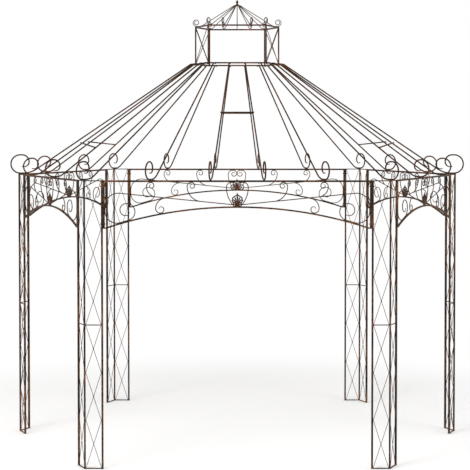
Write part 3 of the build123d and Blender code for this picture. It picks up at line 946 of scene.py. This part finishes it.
# %% The bead tree
def bead_tree():
    """A low ball on each point, turned, scaled and made lumpy from the given seed."""
    tree, given, result = new_tree("weld_beads", [
        ("Size", "Float"), ("Seed", "Int"), ("Finish", "Material")])
    ball = add(tree, "GeometryNodeMeshUVSphere", {"Segments": 8, "Rings": 6, "Radius": 1.0})
    turn = add(tree, "FunctionNodeRandomValue", {
        0: (0.0, 0.0, 0.0), 1: (tau, tau, tau), "Seed": given.outputs["Seed"]},
        data_type="FLOAT_VECTOR")
    low = add(tree, "ShaderNodeMath", {0: given.outputs["Size"], 1: 0.75}, operation="MULTIPLY")
    high = add(tree, "ShaderNodeMath", {0: given.outputs["Size"], 1: 1.25}, operation="MULTIPLY")
    size = add(tree, "FunctionNodeRandomValue", {
        2: low.outputs[0], 3: high.outputs[0], "Seed": given.outputs["Seed"]},
        data_type="FLOAT")
    spread = add(tree, "GeometryNodeInstanceOnPoints", {
        "Points": given.outputs["Geometry"], "Instance": ball.outputs["Mesh"],
        "Rotation": turn.outputs[0], "Scale": size.outputs[1]})
    whole = add(tree, "GeometryNodeRealizeInstances", {0: spread.outputs[0]})
    noise = add(tree, "ShaderNodeTexNoise", {"Scale": 160.0, "Detail": 1.0})
    lump = add(tree, "ShaderNodeMapRange", {
        "Value": noise.outputs[0], "To Min": -0.5, "To Max": 0.5})
    reach = add(tree, "ShaderNodeMath", {0: lump.outputs[0], 1: given.outputs["Size"]},
                operation="MULTIPLY")
    normal = add(tree, "GeometryNodeInputNormal")
    push = add(tree, "ShaderNodeVectorMath", {0: normal.outputs[0], "Scale": reach.outputs[0]},
               operation="SCALE")
    lumpy = add(tree, "GeometryNodeSetPosition", {
        "Geometry": whole.outputs[0], "Offset": push.outputs[0]})
    smooth = add(tree, "GeometryNodeSetShadeSmooth", {"Geometry": lumpy.outputs[0]})
    finish = add(tree, "GeometryNodeSetMaterial", {
        "Geometry": smooth.outputs[0], "Material": given.outputs["Finish"]})
    tree.links.new(finish.outputs[0], result.inputs[0])
    return tree


def point_carrier(points, aims=None):
    """A mesh of bare points; each may carry the direction it faces."""
    mesh = bpy.data.meshes.new("points")
    mesh.from_pydata([tuple(point) for point in points], [], [])
    if aims:
        aim = mesh.attributes.new("aim", "FLOAT_VECTOR", "POINT")
        for value, vector in zip(aim.data, aims):
            value.vector = vector
    carrier = bpy.data.objects.new("carrier", mesh)
    bpy.context.scene.collection.objects.link(carrier)
    return carrier


BEADS = bead_tree()
print("bead tree:", len(BEADS.nodes), "nodes")

# %% Beads on their joints
ring_bead_out = lantern_bar / 2 + 0.001
ring_bead_drop = 0.005
seat_bead_lift = 0.0012

ring_joints = []
seat_joints = []
for ring, foot in RAFTER_SEATS:
    inward = (ring - foot).normalized()
    ring_joints.append(Vector((*(ring - inward * ring_bead_out), ring_height - ring_bead_drop)))
    seat_joints.append(Vector((*foot, eave + seat_bead_lift)))
# name, joints, size of a bead and slot; each group's seed is its place in this list
groups = [("lattice_welds", LATTICE_CROSSINGS, 0.0042, "post_iron"),
          ("scroll_welds", SCROLL_TOUCHES, 0.0050, "scroll_iron"),
          ("rafter_welds", seat_joints + ring_joints, 0.0072, "roof_iron"),
          ("lantern_welds", BRACE_CROSSINGS, 0.0050, "lantern_iron")]
for seed, (name, points, size, slot) in enumerate(groups):
    values = {"Size": size, "Seed": seed, "Finish": weld_iron}
    keep(grow(name, point_carrier(points), BEADS, values), slot)

# %% [markdown]
# ## Bolts between the friezes and the posts
#
# The posts and the friezes come as flat packs and are bolted together, two bolts at
# each end of a frieze: a hexagon head with a washer on the inside of the frieze, and a
# nut on the inside of the post. The tree turns each one to face the direction stored on
# its point, and gives the hexagon a chamfer by drawing its top face in.

# %% The bolt tree
def bolt_tree():
    """A chamfered hexagon on a washer, turned on each point to face its stored direction."""
    tree, given, result = new_tree("bolt_heads", [("Size", "Float"), ("Finish", "Material")])
    head = add(tree, "GeometryNodeMeshCylinder", {"Vertices": 6, "Radius": 1.0, "Depth": 0.70})
    top = add(tree, "GeometryNodeExtrudeMesh", {
        "Mesh": head.outputs["Mesh"], "Selection": head.outputs["Top"], "Offset Scale": 0.16})
    drawn = add(tree, "GeometryNodeScaleElements", {
        "Geometry": top.outputs["Mesh"], "Selection": top.outputs["Top"], "Scale": 0.80})
    lifted = add(tree, "GeometryNodeTransform", {
        "Geometry": drawn.outputs[0], "Translation": (0, 0, 0.50)})
    disc = add(tree, "GeometryNodeMeshCylinder", {"Vertices": 20, "Radius": 1.35, "Depth": 0.22})
    rim = add(tree, "GeometryNodeExtrudeMesh", {
        "Mesh": disc.outputs["Mesh"], "Selection": disc.outputs["Top"], "Offset Scale": 0.05})
    edge = add(tree, "GeometryNodeScaleElements", {
        "Geometry": rim.outputs["Mesh"], "Selection": rim.outputs["Top"], "Scale": 0.93})
    both = add(tree, "GeometryNodeJoinGeometry")
    tree.links.new(lifted.outputs[0], both.inputs[0])
    tree.links.new(edge.outputs[0], both.inputs[0])
    aim = add(tree, "GeometryNodeInputNamedAttribute", {"Name": "aim"},
              data_type="FLOAT_VECTOR")
    turned_to = add(tree, "FunctionNodeAlignRotationToVector", {"Vector": aim.outputs[0]}, axis="Z")
    spread = add(tree, "GeometryNodeInstanceOnPoints", {
        "Points": given.outputs["Geometry"], "Instance": both.outputs[0],
        "Rotation": turned_to.outputs[0], "Scale": given.outputs["Size"]})
    whole = add(tree, "GeometryNodeRealizeInstances", {0: spread.outputs[0]})
    finish = add(tree, "GeometryNodeSetMaterial", {
        "Geometry": whole.outputs[0], "Material": given.outputs["Finish"]})
    tree.links.new(finish.outputs[0], result.inputs[0])
    return tree


BOLTS = bolt_tree()
print("bolt tree:", len(BOLTS.nodes), "nodes")

# %% Bolts on the friezes
bolt_size = 0.0048
bolt_heights = (spring + 0.036, eave - 0.046)

bolt_points, bolt_aims = [], []
for face, (left, right) in FACES.items():
    middle = CORNERS[left].lerp(CORNERS[right], 0.5)
    along = (CORNERS[right] - middle).normalized()
    clear = arch_of(face)[0]
    for side in (1, -1):
        for height in bolt_heights:
            for reach, way in ((clear, -side), (clear + frame_bar + post_bar, side)):
                spot = middle + along * side * reach
                bolt_points.append((spot.x, spot.y, height))
                bolt_aims.append((along.x * way, along.y * way, 0.0))
values = {"Size": bolt_size, "Finish": weld_iron}
keep(grow("frieze_bolts", point_carrier(bolt_points, bolt_aims), BOLTS, values), "frame_iron")
print("  ", len(bolt_points), "heads and nuts")

# %% [markdown]
# ## The stage, the light and the camera
#
# The photograph is a cut-out on white, taken from the front at a little above the
# height of a person, with a long lens. The floor is plain and pale and keeps the
# shadows, and anything seen past the object is white by way of the light path. The
# world gives an even studio light and two large soft lamps give the bars a lit side.

# %% Floor
FADE_START, FADE_END = 2.4, 4.6  # metres from the middle, between paint and plain white


def seen_directly(tree):
    """One where the camera looks, also by a reflection or through glass, and nought for light."""
    path = add(tree, "ShaderNodeLightPath").outputs
    seen = add(tree, "ShaderNodeMath", {0: path["Is Camera Ray"], 1: path["Is Glossy Ray"]},
               operation="MAXIMUM")
    through = add(tree, "ShaderNodeMath", {0: seen.outputs[0], 1: path["Is Transmission Ray"]},
                  operation="MAXIMUM")
    return through.outputs[0]


def stage_floor():
    """A pale floor that keeps the shadows, and is plain white further out where it is seen."""
    shape = bmesh.new()
    bmesh.ops.create_grid(shape, x_segments=1, y_segments=1, size=60.0)
    mesh = bpy.data.meshes.new("floor")
    shape.to_mesh(mesh)
    shape.free()
    finish = bpy.data.materials.new("floor_paint")
    finish.use_nodes = True
    tree = finish.node_tree
    shader = tree.nodes["Principled BSDF"]
    place = add(tree, "ShaderNodeTexCoord").outputs["Object"]
    cloud = add(tree, "ShaderNodeTexNoise", {"Vector": place, "Scale": 1.5})
    tint = add(tree, "ShaderNodeMapRange", {
        "Value": cloud.outputs[0], "To Min": 0.93, "To Max": 0.96})
    tree.links.new(tint.outputs[0], shader.inputs["Base Color"])
    shader.inputs["Roughness"].default_value = 0.9
    away = add(tree, "ShaderNodeVectorMath", {0: place}, operation="LENGTH")
    fade = add(tree, "ShaderNodeMapRange", {
        "Value": away.outputs["Value"], "From Min": FADE_START, "From Max": FADE_END},
        interpolation_type="SMOOTHSTEP")
    share = add(tree, "ShaderNodeMath", {0: fade.outputs[0], 1: seen_directly(tree)},
                operation="MULTIPLY")
    white = add(tree, "ShaderNodeEmission", {"Color": (1, 1, 1, 1), "Strength": 1.0})
    mix = add(tree, "ShaderNodeMixShader", {
        0: share.outputs[0], 1: shader.outputs[0], 2: white.outputs[0]})
    tree.links.new(mix.outputs[0], tree.nodes["Material Output"].inputs["Surface"])
    mesh.materials.append(finish)
    floor = bpy.data.objects.new("floor", mesh)
    floor.location.z = -0.0005
    bpy.context.scene.collection.objects.link(floor)


stage_floor()
print("floor from paint to white between", FADE_START, "and", FADE_END, "m")


# %% World and lamps
LAMP_TARGET = Vector((0, 0, 1.8))


def studio_world():
    """An even light from all sides, and plain white where the camera looks past the object."""
    world = bpy.data.worlds.new("studio")
    bpy.context.scene.world = world
    world.use_nodes = True
    tree = world.node_tree
    light = tree.nodes["Background"]
    light.inputs["Color"].default_value = (1.0, 0.99, 0.98, 1)
    light.inputs["Strength"].default_value = 0.74
    white = add(tree, "ShaderNodeBackground", {"Color": (1, 1, 1, 1), "Strength": 1.0})
    mix = add(tree, "ShaderNodeMixShader", {
        0: seen_directly(tree), 1: light.outputs[0], 2: white.outputs[0]})
    tree.links.new(mix.outputs[0], tree.nodes["World Output"].inputs["Surface"])


def soft_lamp(name, place, size, power):
    """A large square lamp that faces the middle of the object."""
    lamp = bpy.data.lights.new(name, "AREA")
    lamp.shape = "SQUARE"
    lamp.size = size
    lamp.energy = power
    holder = bpy.data.objects.new(name, lamp)
    holder.location = place
    towards = LAMP_TARGET - Vector(place)
    holder.rotation_euler = towards.to_track_quat("-Z", "Y").to_euler()
    bpy.context.scene.collection.objects.link(holder)


studio_world()
soft_lamp("key_light", place=(-6.0, -7.5, 7.5), size=5.0, power=650)
soft_lamp("fill_light", place=(7.0, -5.0, 4.5), size=5.0, power=225)
print("lights ready")

# %% [markdown]
# The camera stands in front, thirteen metres away and a little higher than the eave, as
# the lines of the rails tell. It looks down by two degrees, and a small lens shift moves
# the frame to where the photograph has it.

# %% Camera
camera = bpy.data.cameras.new("camera")
camera.lens = 118.72
camera.shift_x = -0.0008
camera.shift_y = -0.1264
holder = bpy.data.objects.new("camera", camera)
holder.location = (-0.0150, -13.224, 2.6545)
holder.rotation_euler = (radians(88), 0, 0)
bpy.context.scene.collection.objects.link(holder)
bpy.context.scene.camera = holder
bpy.context.scene.view_settings.view_transform = "Standard"
print("camera at", tuple(holder.location))

# %% [markdown]
# The measured parts get the same finishes as the pieces that stand for them, so that they
# look right when they are shown on their own. Then the number of pieces and their
# triangles are printed.

# %% Finishes on the measured parts
SLOT_FINISH = {
    "post": post_iron, "arch_frame": frame_iron, "scroll": scroll_iron, "palmette": cast_iron,
    "rafter": roof_iron, "crossbar": roof_iron, "lantern": lantern_iron, "finial": lantern_iron}
for name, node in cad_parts.items():
    finish = next(value for key, value in SLOT_FINISH.items() if key in name)
    node.data.materials.clear()
    node.data.materials.append(finish)
print("finishes given to", len(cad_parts), "measured parts")

# %% Sizes
print("pieces:", len(PIECES), "triangles:", sum(triangles(piece) for piece in PIECES))
